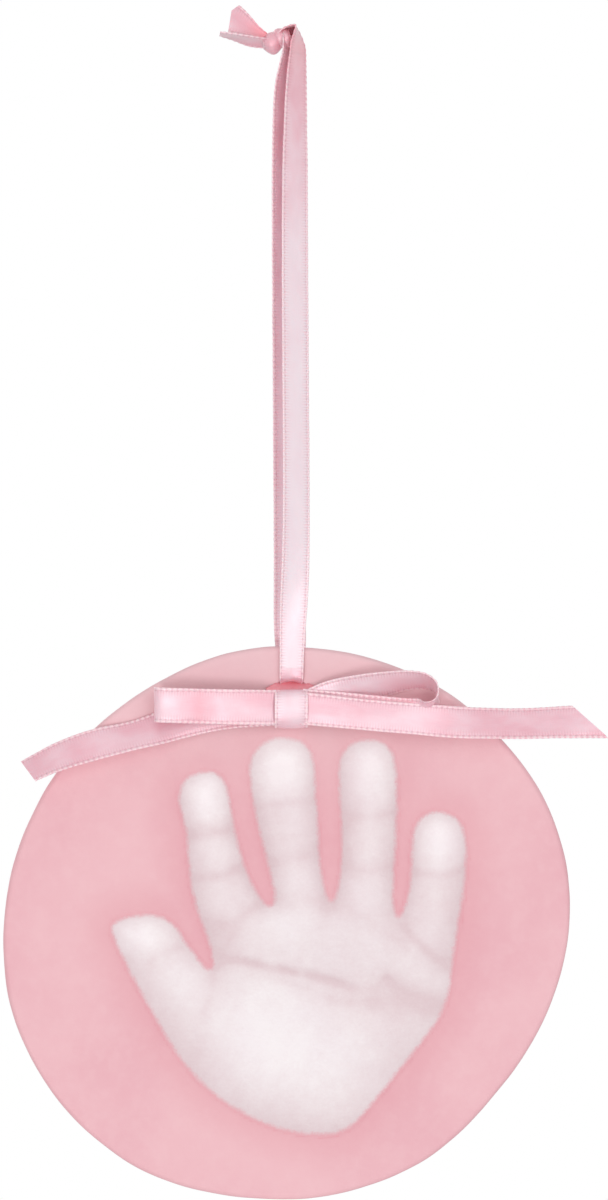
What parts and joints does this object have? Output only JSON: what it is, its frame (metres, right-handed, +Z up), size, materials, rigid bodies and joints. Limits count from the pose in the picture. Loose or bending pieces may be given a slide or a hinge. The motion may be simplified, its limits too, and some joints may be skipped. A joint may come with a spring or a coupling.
{
  "type": "hanging handprint plaque",
  "caption": "Round painted clay plaque with a sunken baby handprint, hung from a nail by a doubled satin ribbon and dressed with a flat bow.",
  "frame": {"origin": "centre of the nail that the ribbon hangs from, half-way along the ribbon's width", "axes": "+Z up, +X to the right seen from the front, the printed face looks along -Y"},
  "size_m": [0.1228, 0.0151, 0.2395],
  "materials": {
    "bare_clay": "matt air-dry clay",
    "pink_paint": "matt acrylic paint",
    "satin_ribbon": "satin weave with dotted edges"
  },
  "bodies": {
    "nail_turn": {"hook_turn": "satin_ribbon"},
    "knot": {"top_knot": "satin_ribbon", "knot_tail_upper": "satin_ribbon", "knot_tail_lower": "satin_ribbon", "front_strand_top": "satin_ribbon"},
    "strands": {"front_strand": "satin_ribbon", "rear_strand": "satin_ribbon", "hole_turn": "satin_ribbon"},
    "plaque": {"clay_disc": "bare_clay", "paint_coat": "pink_paint"},
    "bow": {"bow_tie_turn": "satin_ribbon", "bow_knot": "satin_ribbon", "bow_left_loop": "satin_ribbon", "bow_right_loop": "satin_ribbon", "bow_left_tail_root": "satin_ribbon", "bow_right_tail_root": "satin_ribbon"},
    "left_tail": {"bow_left_tail_end": "satin_ribbon"},
    "right_tail": {"bow_right_tail_end": "satin_ribbon"}
  },
  "joints": [
    {"name": "swing_on_nail", "type": "hinge", "parent": "nail_turn", "child": "knot", "pos_m": [0, 0, 0], "axis": [0, 1, 0], "range_deg": [-28, 28]},
    {"name": "twist_of_strands", "type": "hinge", "parent": "knot", "child": "strands", "pos_m": [0, 0, -0.00445], "axis": [0, 0, 1], "range_deg": [-180, 180], "stiffness_Nm_per_rad": 0.0002},
    {"name": "plaque_rock", "type": "hinge", "parent": "strands", "child": "plaque", "pos_m": [-0.0004, 0, -0.1326], "axis": [0, 1, 0], "range_deg": [-25, 25]},
    {"name": "bow_turn", "type": "hinge", "parent": "strands", "child": "bow", "pos_m": [-0.0004, 0, -0.1326], "axis": [0, 1, 0], "range_deg": [-15, 15]},
    {"name": "left_tail_lift", "type": "hinge", "parent": "bow", "child": "left_tail", "pos_m": [-0.02715, -0.00555, -0.1355], "axis": [0, 0, 1], "range_deg": [0, 60]},
    {"name": "right_tail_lift", "type": "hinge", "parent": "bow", "child": "right_tail", "pos_m": [0.02855, -0.00555, -0.1355], "axis": [0, 0, -1], "range_deg": [0, 60]}
  ]
}
